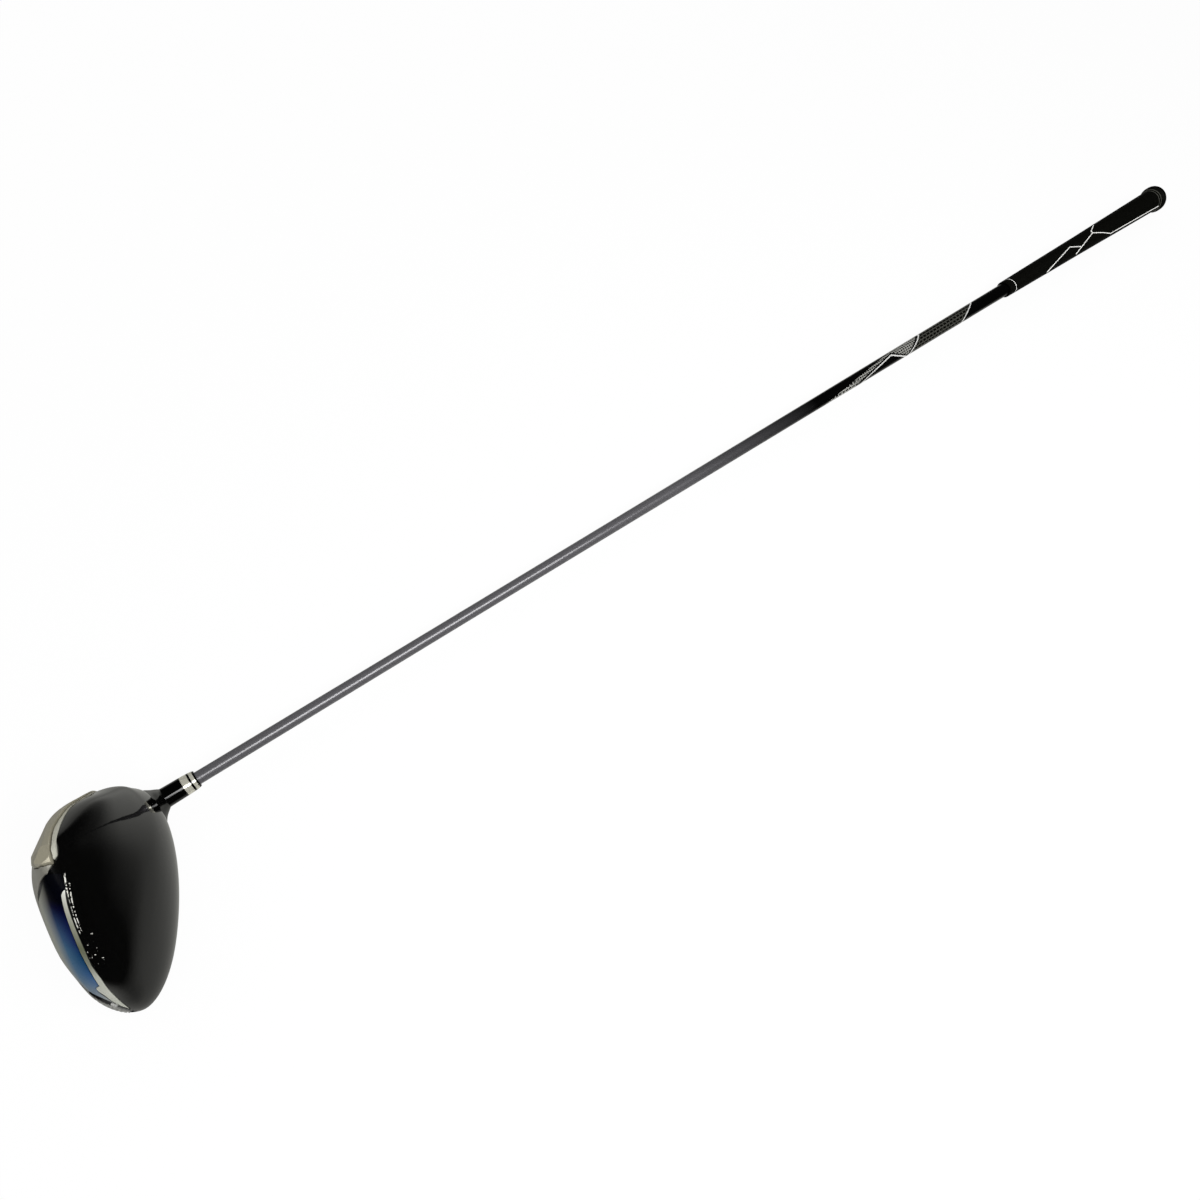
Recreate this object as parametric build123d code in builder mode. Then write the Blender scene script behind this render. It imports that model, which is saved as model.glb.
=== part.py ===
from build123d import *
import math
import os

# Golf driver, lying face down: hollow head, bonded shaft, ferrule and slip-on grip.
# The row frame has +X along the shaft from the head to the butt and +Z up from the floor.
# Head sizes are written in the head's own frame, as it sits at address:
# x forward to the target, y to the heel, z up, zero where the shaft axis meets the ground.

os.makedirs("parts", exist_ok=True)

# ---------------------------------------------------------------- club and shaft
LIE = math.radians(59.0)
REST_ROLL = math.radians(-0.3)
CAP_R = 13.3
FERRULE_TOP = 65.5
SHAFT_OUT = 1090.0
BUTT_END = FERRULE_TOP + SHAFT_OUT

# ---------------------------------------------------------------- head shell
WALL = 1.5
POCKET = 0.7
PROUD = 0.25
COVER_PROUD = 1.4
FACE_R = 300.0
FACE_T = 3.2
LOFT_ANGLE = math.radians(10.5)
FACE_MID = (9.54, -43.0, 29.0)
FACE_EDGE = 2.4
FACE_RIM_SHORTEST = 100.0
FACE_REACH = 12.0

# depth, toe, heel, crest, crown, sole, seam at the toe and seam at the heel of each station
STATIONS = [
    (19.0, -91.8, 7.8, -61.5, 46.4, 2.6, 35.8, 25.3),
    (8.0, -97.5, 16.1, -60.8, 51.5, 1.2, 36.5, 24.9),
    (-6.5, -100.7, 21.5, -56.4, 55.9, 0.0, 37.5, 25.5),
    (-22.5, -97.6, 21.2, -49.5, 57.2, -0.4, 38.2, 27.9),
    (-40.5, -93.0, 15.2, -42.4, 55.9, 0.0, 37.8, 31.3),
    (-54.5, -86.6, 10.5, -38.4, 52.6, 1.6, 37.5, 33.0),
    (-68.0, -78.2, 1.8, -36.6, 47.3, 3.8, 36.9, 33.0),
    (-79.0, -70.8, -6.2, -36.0, 42.4, 7.0, 35.2, 31.6),
    (-88.5, -63.3, -16.4, -36.2, 37.7, 12.1, 32.1, 30.4),
    (-96.5, -55.7, -26.6, -37.4, 33.7, 16.1, 28.3, 28.9),
    (-102.5, -49.6, -34.9, -39.4, 30.2, 20.3, 25.4, 27.2),
    (-106.2, -46.4, -40.0, -40.6, 27.2, 24.2, 22.8, 25.7),
]
ROUND_CROWN_HEEL = 1.90
ROUND_CROWN_TOE = 2.34
ROUND_SOLE_TOE = 1.87
ROUND_SOLE_HEEL_FRONT = 2.98
ROUND_SOLE_HEEL_BACK = 2.12
SECTION_POINTS = 24
WIDEST_X = -40.0
TAIL_LENGTH = 68.0
LEAST_HALF = 1.5  # a station left with less half width or half height than this ends the loft before it

# seam between crown and skirt, seen from behind (heelward, up)
PARTING = [
    (-120.0, 44.0), (-103.0, 40.0), (-97.1, 36.3), (-90.0, 35.5), (-81.7, 33.9), (-70.0, 33.4),
    (-59.2, 32.8), (-50.0, 30.9), (-41.5, 29.6), (-32.0, 26.9), (-22.0, 23.7), (-12.4, 21.6),
    (-3.0, 20.8), (7.0, 22.5), (18.0, 28.0), (30.0, 36.0),
]
CROWN_SETBACK = 6.5
HOSEL_CLEAR_R = 24.0
BEHIND_X = -130.0
IN_FRONT_X = 30.0
ABOVE_Z = 80.0

# face insert outline on the face plane (heelward, up)
FACE_OUTLINE = [
    (-46.0, 2.0), (-41.0, 14.5), (-24.0, 20.5), (0.0, 20.5), (20.0, 16.5), (32.0, 8.5),
    (36.0, -2.0), (29.0, -13.0), (12.0, -20.0), (-10.0, -22.5), (-30.0, -20.0), (-42.0, -11.0),
]
SCORE_PITCH = 5.0
SCORE_WIDTH = 0.9
SCORE_DEPTH = 0.4
SCORE_TOE_U = -25.0
SCORE_TOE_L = 24.0
SCORE_HEEL_U = 20.5
SCORE_HEEL_L = 17.0

# skirt pieces, outlines seen from behind (heelward, up); where two overlap, the second gives way
COVER = [
    (-46.5, 28.7), (-42.4, 27.8), (-37.7, 26.5), (-32.3, 24.1), (-25.5, 21.5), (-19.0, 20.2),
    (-10.0, 19.6), (8.0, 19.4), (14.0, 17.0), (4.0, 14.0), (-14.0, 13.0), (-30.0, 14.4),
    (-38.0, 15.2), (-45.2, 16.6), (-47.2, 21.2), (-47.6, 25.2),
]
COVER_FRONT_X = -42.0
# flat on the outer side of the cover: a point on it and the way it faces, in the head frame
FLAT_POINT = (-91.0, -28.4, 13.8)
FLAT_FACING = (-0.61, 0.28, -0.74)
STRIP = [(-44.8, 28.8), (-41.0, 30.4), (6.0, 40.0), (6.0, 14.0), (-24.0, 14.0)]
TRIM = [
    (-57.2, 34.0), (-57.4, 32.0), (-58.1, 31.2), (-59.7, 30.4), (-67.2, 30.1), (-74.0, 30.2),
    (-80.4, 30.6), (-84.9, 31.5), (-89.2, 32.2), (-92.8, 32.5), (-92.9, 30.2), (-93.1, 29.1),
    (-93.8, 29.3), (-95.5, 31.1), (-97.2, 32.4), (-98.8, 34.2), (-100.1, 36.4), (-104.0, 44.0),
]
TRIM_FRONT_X = -8.5
BLUE = [
    (-50.2, 34.0), (-51.4, 25.2), (-52.5, 22.0), (-53.4, 17.7), (-55.2, 14.9), (-57.9, 13.2),
    (-62.0, 11.4), (-70.0, 9.6), (-78.0, 10.5), (-86.0, 13.5), (-93.0, 17.0), (-102.0, 24.0),
    (-102.0, 44.0),
]
BLUE_FRONT_X = -16.0
SOLE = [
    (-46.4, 28.6), (-50.0, 26.6), (-62.0, 20.0), (-101.0, 20.0), (-101.0, -8.0), (14.0, -8.0),
    (14.0, 15.0), (8.0, 17.0), (-20.0, 17.0), (-44.0, 22.0),
]
SOLE_FRONT_X = -8.0
# toe strip and the groove it stands in, seen from the toe (forward, up)
TOE_STRIP = [
    (-6.0, 36.4), (-8.2, 34.9), (-12.0, 31.6), (-14.8, 28.2), (-16.8, 24.8), (-17.8, 20.4),
    (-19.6, 15.4), (-30.0, 12.0), (-44.0, 11.0), (-46.0, 8.6), (-30.0, 8.0), (-16.0, 9.4),
    (-10.6, 16.0), (-8.0, 24.0), (-5.0, 30.0), (-2.6, 35.0),
]
GROOVE = [
    (-4.0, 39.2), (-8.8, 38.6), (-13.0, 37.2), (-17.2, 34.5), (-21.1, 31.2), (-23.2, 27.5),
    (-23.9, 22.8), (-24.8, 19.8), (-28.5, 15.4), (-45.0, 13.2), (-48.4, 8.6), (-46.0, 6.4),
    (-30.0, 5.8), (-14.0, 7.0), (-8.4, 13.0), (-5.8, 23.0), (-2.8, 29.0), (-0.4, 35.0),
]
TOE_SIDE_Y = -60.0
TOE_SIDE_LENGTH = 60.0
SEAM = 0.6
RIDGES = 9
RIDGE_PITCH = 2.4
RIDGE_WIDTH = 1.0
RIDGE_LENGTH = 14.0
RIDGE_MID = (-10.5, 29.0)
RIDGE_RUN = 55.0
RIDGE_LEAN = 20.0

# sole weight
WEIGHT_R = 6.8
WEIGHT_T = 4.6
WEIGHT_FIT = 0.05
WEIGHT_X = -74.0
WEIGHT_Y = -37.0
WEIGHT_Z = 6.3
WEIGHT_TILT = math.radians(18.0)
WEIGHT_CHAMFER = 0.6
HEX_R = 2.6
HEX_DEPTH = 2.6
CUP_WALL = 1.6
CUP_REACH = 30.0

# ---------------------------------------------------------------- hosel and ferrule
HOSEL_R = 6.6
HOSEL_LOW = 18.0
BOND_GAP = 0.05
BORE_BOTTOM = 21.0
FERRULE_BODY = 11.6
RING_WIDE = 4.4
RING_DARK = 1.3
RING_NARROW = 2.1
RING_TOP = 1.1
FERRULE_RADII = [6.55, 6.35, 6.15, 6.05, 5.75, 5.35]
HOSEL_TOP = FERRULE_TOP - FERRULE_BODY - RING_WIDE - RING_DARK - RING_NARROW - RING_TOP
TUBE_R = 6.2
TUBE_HIGH = HOSEL_TOP - 6.0
# flare of the hosel into the crown: below the hosel top, reach to the heel, toe, back and front
NECK = [
    (0.0, 6.2, 6.2, 6.2, 6.2),
    (1.0, 6.4, 7.2, 7.2, 6.2),
    (2.0, 6.6, 8.6, 8.8, 6.2),
    (4.0, 6.8, 11.6, 12.0, 6.1),
    (6.0, 6.9, 16.2, 16.0, 5.8),
    (7.5, 6.7, 20.6, 20.0, 5.4),
    (9.0, 6.4, 27.0, 23.0, 5.2),
    (13.0, 6.0, 33.4, 25.0, 5.0),
]

# ---------------------------------------------------------------- shaft and grip
SHAFT_WALL = 1.3
TIP_GAP = 0.5
TIP_DEPTH = FERRULE_TOP - BORE_BOTTOM - TIP_GAP
# distance above the ferrule, radius
SHAFT_TAPER = [
    (-TIP_DEPTH, 4.25), (0.0, 4.25), (100.0, 4.27), (200.0, 4.33), (356.0, 4.66),
    (584.0, 5.38), (780.0, 6.05), (930.0, 6.65), (1084.8, 7.3),
]
GRIP_LENGTH = 264.0
TAPE_T = 0.25
TAPE_INSET = 4.0
SLIP = 0.02
CAP_T = 5.0
CAP_FLARE = 15.0
# distance above the mouth, radius
GRIP_SKIN = [
    (0.0, 7.75), (14.0, 7.95), (60.0, 8.5), (110.0, 9.05), (160.0, 9.8), (205.0, 10.5), (236.0, 10.95),
]
GRIP_NECK_R = 11.1
VENT_R = 1.1
CAP_LAND = 3.0
CAP_DOME = 2.6
CAP_END_R = 9.5
PLUG_LENGTH = 8.0

TO_FRONT = Vector(0, -math.sin(REST_ROLL), -math.cos(REST_ROLL))
TO_HEEL = Vector(
    math.cos(LIE),
    math.sin(LIE) * math.cos(REST_ROLL),
    -math.sin(LIE) * math.sin(REST_ROLL),
)
TO_CROWN = Vector(
    math.sin(LIE),
    -math.cos(LIE) * math.cos(REST_ROLL),
    math.cos(LIE) * math.sin(REST_ROLL),
)


# the origin is under the middle of the club's box; toe reaches are measured from the ground point
TOE_REACH_X = 35.71
TOE_REACH_Y = 107.55
GROUND_POINT = Vector((TOE_REACH_X - BUTT_END) / 2, (TOE_REACH_Y - CAP_R) / 2, CAP_R)


def at(x, y, z):
    """A point of the head frame, in the row frame."""
    return GROUND_POINT + TO_FRONT * x + TO_HEEL * y + TO_CROWN * z


def rear_view(x):
    """Plane across the head at depth x, with heelward and up as its own axes."""
    return Plane(origin=at(x, 0, 0), x_dir=TO_HEEL, z_dir=TO_FRONT)


def toe_view(y):
    """Plane along the head at heelward place y, with forward and up as its own axes."""
    return Plane(origin=at(0, y, 0), x_dir=TO_FRONT, z_dir=TO_HEEL * -1)


def along(s):
    """Plane square to the shaft, s millimetres up the axis from the ground point."""
    return Plane(origin=GROUND_POINT + Vector(s, 0, 0), x_dir=(0, 1, 0), z_dir=(1, 0, 0))


AXIS_PLANE = Plane(origin=GROUND_POINT, x_dir=(1, 0, 0), z_dir=(0, -1, 0))
SHAFT_AXIS = Axis(GROUND_POINT, (1, 0, 0))


def sole_heel_round(x):
    """Roundness of the sole towards the heel, easing from the front to the back of the head."""
    share = min(1.0, max(0.0, x / STATIONS[-1][0]))
    return ROUND_SOLE_HEEL_FRONT + (ROUND_SOLE_HEEL_BACK - ROUND_SOLE_HEEL_FRONT) * share


def ring_points(station, grow):
    """Points round one station, moved outward by grow in its own plane."""
    x, toe, heel, crest, crown, sole, seam_toe, seam_heel = station
    base = []
    for i in range(SECTION_POINTS):
        a = 2 * math.pi * i / SECTION_POINTS
        c = math.cos(a)
        s = math.sin(a)
        if s >= 0 and c >= 0:
            n = ROUND_CROWN_HEEL
        elif s >= 0:
            n = ROUND_CROWN_TOE
        elif c >= 0:
            n = sole_heel_round(x)
        else:
            n = ROUND_SOLE_TOE
        seam = seam_heel if c >= 0 else seam_toe
        reach_y = heel - crest if c >= 0 else crest - toe
        reach_z = crown - seam if s >= 0 else seam - sole
        y = crest + reach_y * math.copysign(abs(c) ** (2 / n), c)
        z = seam + reach_z * math.copysign(abs(s) ** (2 / n), s)
        base.append((y, z))
    moved = []
    for i in range(SECTION_POINTS):
        before = base[i - 1]
        after = base[(i + 1) % SECTION_POINTS]
        ty = after[0] - before[0]
        tz = after[1] - before[1]
        size = math.hypot(ty, tz)
        moved.append((base[i][0] + grow * tz / size, base[i][1] - grow * ty / size))
    return moved


def station_depth(station, grow):
    """Depth of a station once the tail has grown by the same amount as the sides."""
    behind = max(0.0, WIDEST_X - station[0])
    return station[0] - grow * behind / TAIL_LENGTH


def envelope_stations(grow):
    """Stations still large enough to carry a skin moved by grow."""
    return [row for row in STATIONS if min(row[2] - row[1], row[4] - row[5]) / 2 > LEAST_HALF - grow]


def skin(grow):
    """The whole head as a lofted solid, its sides moved outward by grow."""
    with BuildPart() as lofted:
        for row in envelope_stations(grow):
            with BuildSketch(rear_view(station_depth(row, grow))):
                with BuildLine():
                    Spline(*ring_points(row, grow), periodic=True)
                make_face()
        loft()
    return lofted.part


def region(plane, outline, length, grow=0.0):
    """A straight-sided outline on a plane, moved outward by grow and carried along by length."""
    with BuildPart() as prism:
        with BuildSketch(plane):
            with BuildLine():
                Polyline(*outline, close=True)
            make_face()
            if grow > 0:
                offset(amount=grow)
        extrude(amount=length)
    return prism.part


def shaft_radius(d):
    """Outer radius of the shaft, d above the ferrule."""
    for (d0, r0), (d1, r1) in zip(SHAFT_TAPER, SHAFT_TAPER[1:]):
        if d <= d1:
            return r0 + (r1 - r0) * (d - d0) / (d1 - d0)
    return SHAFT_TAPER[-1][1]


def turned(profile):
    """A solid turned about the shaft axis from (along, radius) points."""
    with BuildPart() as lathe:
        with BuildSketch(AXIS_PLANE):
            with BuildLine():
                Polyline(*profile, close=True)
            make_face()
        revolve(axis=SHAFT_AXIS)
    return lathe.part


# ---------------------------------------------------------------- construction solids
FACE_NORMAL = TO_FRONT * math.cos(LOFT_ANGLE) + TO_CROWN * math.sin(LOFT_ANGLE)
FACE_PLANE = Plane(origin=at(*FACE_MID), x_dir=TO_HEEL, z_dir=FACE_NORMAL)
BALL_PLANE = Plane(origin=at(*FACE_MID) - FACE_NORMAL * FACE_R, x_dir=TO_HEEL, z_dir=FACE_NORMAL)

with BuildPart(BALL_PLANE) as face_ball:
    Sphere(FACE_R)

with BuildPart(BALL_PLANE) as face_back_ball:
    Sphere(FACE_R - FACE_T)

with BuildPart(BALL_PLANE) as score_floor_ball:
    Sphere(FACE_R - SCORE_DEPTH)

with BuildPart() as head_envelope:
    add(skin(0.0))
    add(face_ball.part, mode=Mode.INTERSECT)
    rim = head_envelope.faces().filter_by(GeomType.SPHERE).sort_by(SortBy.AREA)[-1].edges()
    fillet([e for e in rim if e.length > FACE_RIM_SHORTEST], FACE_EDGE)

with BuildPart() as neck:
    for drop, heelward, toeward, back, front in NECK:
        with BuildSketch(along(HOSEL_TOP - drop)):
            with Locations(((heelward - toeward) / 2, (back - front) / 2)):
                Ellipse((heelward + toeward) / 2, (back + front) / 2)
    loft()
    with BuildSketch(along(HOSEL_LOW)):
        Circle(HOSEL_R)
    extrude(amount=HOSEL_TOP - HOSEL_LOW)

with BuildPart() as cavity:
    add(skin(-WALL))
    add(face_back_ball.part, mode=Mode.INTERSECT)

with BuildPart() as shell:
    add(head_envelope.part)
    add(neck.part)
    add(cavity.part, mode=Mode.SUBTRACT)

with BuildPart(BALL_PLANE) as crown_ball:
    Sphere(FACE_R - CROWN_SETBACK)

with BuildPart() as crown_region:
    with BuildSketch(rear_view(BEHIND_X)):
        with BuildLine():
            seam_line = Spline(*PARTING)
            Polyline(seam_line @ 1, (PARTING[-1][0], ABOVE_Z), (PARTING[0][0], ABOVE_Z), seam_line @ 0)
        make_face()
    extrude(amount=IN_FRONT_X - BEHIND_X)
    add(crown_ball.part, mode=Mode.INTERSECT)
    with BuildSketch(along(0)):
        Circle(HOSEL_CLEAR_R)
    extrude(amount=FERRULE_TOP, mode=Mode.SUBTRACT)

with BuildPart() as face_region:
    with BuildSketch(FACE_PLANE):
        with BuildLine():
            Spline(*FACE_OUTLINE, periodic=True)
        make_face()
    extrude(amount=FACE_REACH, both=True)

with BuildPart() as score_lines:
    with BuildSketch(FACE_PLANE):
        for i in range(-3, 4):
            with Locations((SCORE_TOE_U, i * SCORE_PITCH)):
                SlotOverall(SCORE_TOE_L, SCORE_WIDTH)
            with Locations((SCORE_HEEL_U, i * SCORE_PITCH)):
                SlotOverall(SCORE_HEEL_L, SCORE_WIDTH)
    extrude(amount=FACE_REACH, both=True)
    add(score_floor_ball.part, mode=Mode.SUBTRACT)

pocket_skin = skin(-POCKET)
proud_skin = skin(PROUD)
cover_skin = skin(COVER_PROUD)
cover_region = region(rear_view(BEHIND_X), COVER, COVER_FRONT_X - BEHIND_X)
cover_room = region(rear_view(BEHIND_X), COVER, COVER_FRONT_X - BEHIND_X, SEAM)
strip_region = region(rear_view(BEHIND_X), STRIP, COVER_FRONT_X - BEHIND_X)
trim_region = region(rear_view(BEHIND_X), TRIM, TRIM_FRONT_X - BEHIND_X)
trim_room = region(rear_view(BEHIND_X), TRIM, TRIM_FRONT_X - BEHIND_X, SEAM)
blue_region = region(rear_view(BEHIND_X), BLUE, BLUE_FRONT_X - BEHIND_X)
blue_room = region(rear_view(BEHIND_X), BLUE, BLUE_FRONT_X - BEHIND_X, SEAM)
sole_region = region(rear_view(BEHIND_X), SOLE, SOLE_FRONT_X - BEHIND_X)
toe_region = region(toe_view(TOE_SIDE_Y), TOE_STRIP, TOE_SIDE_LENGTH)
groove_region = region(toe_view(TOE_SIDE_Y), GROOVE, TOE_SIDE_LENGTH)

with BuildPart() as ridge_gaps:
    with BuildSketch(toe_view(TOE_SIDE_Y)):
        with Locations(Location((*RIDGE_MID, 0), (0, 0, RIDGE_RUN))):
            with GridLocations(RIDGE_PITCH, 1, RIDGES, 1):
                Rectangle(RIDGE_WIDTH, RIDGE_LENGTH, rotation=RIDGE_LEAN)
    extrude(amount=TOE_SIDE_LENGTH)
    add(head_envelope.part, mode=Mode.SUBTRACT)


def toward(x, y, z):
    """A direction of the head frame, in the row frame."""
    return TO_FRONT * x + TO_HEEL * y + TO_CROWN * z


COVER_FLAT = Plane(origin=at(*FLAT_POINT), z_dir=toward(*FLAT_FACING))


def outside(prism):
    """What a skirt pocket takes away: the prism, less the head below pocket depth."""
    with BuildPart() as cutter:
        add(prism)
        add(pocket_skin, mode=Mode.SUBTRACT)
    return cutter.part


def panel(prism, cover, *without):
    """A skirt panel: the prism between pocket floor and its own outer skin."""
    with BuildPart() as sheet:
        add(cover)
        add(prism, mode=Mode.INTERSECT)
        add(pocket_skin, mode=Mode.SUBTRACT)
        for other in without:
            add(other, mode=Mode.SUBTRACT)
    return sheet.part


WEIGHT_AXIS = TO_CROWN * -math.cos(WEIGHT_TILT) - TO_FRONT * math.sin(WEIGHT_TILT)
WEIGHT_PLANE = Plane(origin=at(WEIGHT_X, WEIGHT_Y, WEIGHT_Z), x_dir=TO_HEEL, z_dir=WEIGHT_AXIS)

# ---------------------------------------------------------------- head pieces
with BuildPart() as crown:
    add(shell.part)
    add(crown_region.part, mode=Mode.INTERSECT)
crown.part.label = "crown"
export_step(crown.part, "parts/crown.step")

with BuildPart() as head_body:
    add(shell.part)
    add(crown_region.part, mode=Mode.SUBTRACT)
    add(face_region.part, mode=Mode.SUBTRACT)
    with BuildSketch(along(HOSEL_LOW)):
        Circle(TUBE_R)
    extrude(amount=TUBE_HIGH - HOSEL_LOW)
    with BuildSketch(WEIGHT_PLANE.offset(-WEIGHT_T - CUP_WALL)):
        Circle(WEIGHT_R + CUP_WALL)
    extrude(amount=WEIGHT_T)
    with BuildSketch(along(BORE_BOTTOM)):
        Circle(shaft_radius(0.0) + BOND_GAP)
    extrude(amount=HOSEL_TOP, mode=Mode.SUBTRACT)
    for prism in (cover_region, strip_region, blue_region, trim_region, sole_region, groove_region):
        add(outside(prism), mode=Mode.SUBTRACT)
    with BuildSketch(WEIGHT_PLANE.offset(-WEIGHT_T)):
        Circle(WEIGHT_R + WEIGHT_FIT)
    extrude(amount=CUP_REACH, mode=Mode.SUBTRACT)
head_body.part.label = "head_body"
export_step(head_body.part, "parts/head_body.step")

with BuildPart() as face_insert:
    add(head_envelope.part)
    add(face_region.part, mode=Mode.INTERSECT)
    add(face_back_ball.part, mode=Mode.SUBTRACT)
    add(score_lines.part, mode=Mode.SUBTRACT)
face_insert.part.label = "face_insert"
export_step(face_insert.part, "parts/face_insert.step")

with BuildPart() as heel_cover:
    add(panel(cover_region, cover_skin, crown_region.part))
    split(bisect_by=COVER_FLAT, keep=Keep.BOTTOM)
heel_cover.part.label = "heel_cover"
export_step(heel_cover.part, "parts/heel_cover.step")

with BuildPart() as heel_strip:
    add(panel(strip_region, proud_skin, crown_region.part, cover_room))
heel_strip.part.label = "heel_strip"
export_step(heel_strip.part, "parts/heel_strip.step")

with BuildPart() as skirt_panel:
    add(panel(blue_region, proud_skin, crown_region.part, trim_room, groove_region))
skirt_panel.part.label = "skirt_panel"
export_step(skirt_panel.part, "parts/skirt_panel.step")

with BuildPart() as skirt_trim:
    add(panel(trim_region, proud_skin, crown_region.part, groove_region))
skirt_trim.part.label = "skirt_trim"
export_step(skirt_trim.part, "parts/skirt_trim.step")

with BuildPart() as sole_plate:
    add(panel(sole_region, proud_skin, cover_room, blue_room, groove_region))
    with BuildSketch(WEIGHT_PLANE.offset(-WEIGHT_T)):
        Circle(WEIGHT_R + WEIGHT_FIT)
    extrude(amount=CUP_REACH, mode=Mode.SUBTRACT)
sole_plate.part.label = "sole_plate"
export_step(sole_plate.part, "parts/sole_plate.step")

with BuildPart() as toe_strip:
    add(panel(toe_region, proud_skin))
    add(ridge_gaps.part, mode=Mode.SUBTRACT)
toe_strip.part.label = "toe_strip"
export_step(toe_strip.part, "parts/toe_strip.step")

with BuildPart() as sole_weight:
    with BuildSketch(WEIGHT_PLANE.offset(-WEIGHT_T)):
        Circle(WEIGHT_R)
    extrude(amount=WEIGHT_T)
    chamfer(sole_weight.edges().group_by(SortBy.DISTANCE)[-1], WEIGHT_CHAMFER)
    with BuildSketch(WEIGHT_PLANE.offset(-HEX_DEPTH)):
        RegularPolygon(HEX_R, 6)
    extrude(amount=WEIGHT_T, mode=Mode.SUBTRACT)
sole_weight.part.label = "sole_weight"
export_step(sole_weight.part, "parts/sole_weight.step")

# ---------------------------------------------------------------- ferrule
FERRULE_STEPS = [0.0, FERRULE_BODY, RING_WIDE, RING_DARK, RING_NARROW, RING_TOP]
BORE_R = shaft_radius(0.0) + BOND_GAP


def ferrule_piece(i):
    """One turned piece of the ferrule stack, counted from the hosel."""
    low = HOSEL_TOP + sum(FERRULE_STEPS[:i + 1])
    high = low + FERRULE_STEPS[i + 1]
    return turned([(low, BORE_R), (low, FERRULE_RADII[i]), (high, FERRULE_RADII[i + 1]), (high, BORE_R)])


with BuildPart() as ferrule_body:
    add(ferrule_piece(0))
ferrule_body.part.label = "ferrule_body"
export_step(ferrule_body.part, "parts/ferrule_body.step")

with BuildPart() as ferrule_ring_wide:
    add(ferrule_piece(1))
ferrule_ring_wide.part.label = "ferrule_ring_wide"
export_step(ferrule_ring_wide.part, "parts/ferrule_ring_wide.step")

with BuildPart() as ferrule_ring_dark:
    add(ferrule_piece(2))
ferrule_ring_dark.part.label = "ferrule_ring_dark"
export_step(ferrule_ring_dark.part, "parts/ferrule_ring_dark.step")

with BuildPart() as ferrule_ring_narrow:
    add(ferrule_piece(3))
ferrule_ring_narrow.part.label = "ferrule_ring_narrow"
export_step(ferrule_ring_narrow.part, "parts/ferrule_ring_narrow.step")

with BuildPart() as ferrule_ring_top:
    add(ferrule_piece(4))
ferrule_ring_top.part.label = "ferrule_ring_top"
export_step(ferrule_ring_top.part, "parts/ferrule_ring_top.step")

# ---------------------------------------------------------------- shaft and grip
outside_line = [(FERRULE_TOP + d, r) for d, r in SHAFT_TAPER]
inside_line = [(FERRULE_TOP + d, r - SHAFT_WALL) for d, r in reversed(SHAFT_TAPER)]

with BuildPart() as shaft:
    add(turned(outside_line + inside_line))
shaft.part.label = "shaft"
export_step(shaft.part, "parts/shaft.step")

with BuildPart() as tip_plug:
    with BuildSketch(along(FERRULE_TOP - TIP_DEPTH)):
        Circle(shaft_radius(0.0) - SHAFT_WALL - BOND_GAP)
    extrude(amount=PLUG_LENGTH)
tip_plug.part.label = "tip_plug"
export_step(tip_plug.part, "parts/tip_plug.step")

MOUTH = SHAFT_OUT - GRIP_LENGTH
TAPE_LOW = MOUTH + TAPE_INSET
TAPE_STOPS = [TAPE_LOW] + [d for d, r in SHAFT_TAPER if d > TAPE_LOW]

with BuildPart() as grip_tape:
    lower = [(FERRULE_TOP + d, shaft_radius(d) + SLIP) for d in TAPE_STOPS]
    upper = [(FERRULE_TOP + d, shaft_radius(d) + TAPE_T) for d in reversed(TAPE_STOPS)]
    add(turned(lower + upper))
grip_tape.part.label = "grip_tape"
export_step(grip_tape.part, "parts/grip_tape.step")

SLEEVE_TOP = SHAFT_OUT - CAP_FLARE
SLEEVE_STOPS = [MOUTH] + [d for d, r in SHAFT_TAPER if MOUTH < d < SLEEVE_TOP] + [SLEEVE_TOP]
TAPE_FIT = TAPE_T + SLIP

with BuildPart() as grip_sleeve:
    bore_line = [(FERRULE_TOP + d, shaft_radius(d) + TAPE_FIT) for d in SLEEVE_STOPS]
    skin_line = [(FERRULE_TOP + MOUTH + d, r) for d, r in GRIP_SKIN]
    skin_line.append((FERRULE_TOP + SLEEVE_TOP, GRIP_NECK_R))
    add(turned(bore_line + skin_line[::-1]))
grip_sleeve.part.label = "grip_sleeve"
export_step(grip_sleeve.part, "parts/grip_sleeve.step")

SHAFT_BUTT = SHAFT_TAPER[-1][0]
CAP_BORE = shaft_radius(SHAFT_BUTT) + TAPE_FIT

with BuildPart() as grip_cap:
    with BuildSketch(AXIS_PLANE):
        with BuildLine():
            low = FERRULE_TOP + SLEEVE_TOP
            end = FERRULE_TOP + SHAFT_OUT
            floor = end - CAP_T + SLIP
            land = end - CAP_DOME
            Spline(
                (low, GRIP_NECK_R),
                (land - CAP_LAND, CAP_R),
                tangents=((1.0, 0.03), (1.0, 0.9)),
            )
            Line((land - CAP_LAND, CAP_R), (land, CAP_R))
            Spline((land, CAP_R), (end, CAP_END_R), tangents=((1.0, -0.1), (0.15, -1.0)))
            Polyline(
                (end, CAP_END_R),
                (end, VENT_R),
                (floor, VENT_R),
                (floor, CAP_BORE),
                (low, CAP_BORE),
                (low, GRIP_NECK_R),
            )
        make_face()
    revolve(axis=SHAFT_AXIS)
grip_cap.part.label = "grip_cap"
export_step(grip_cap.part, "parts/grip_cap.step")
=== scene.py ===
import math

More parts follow.
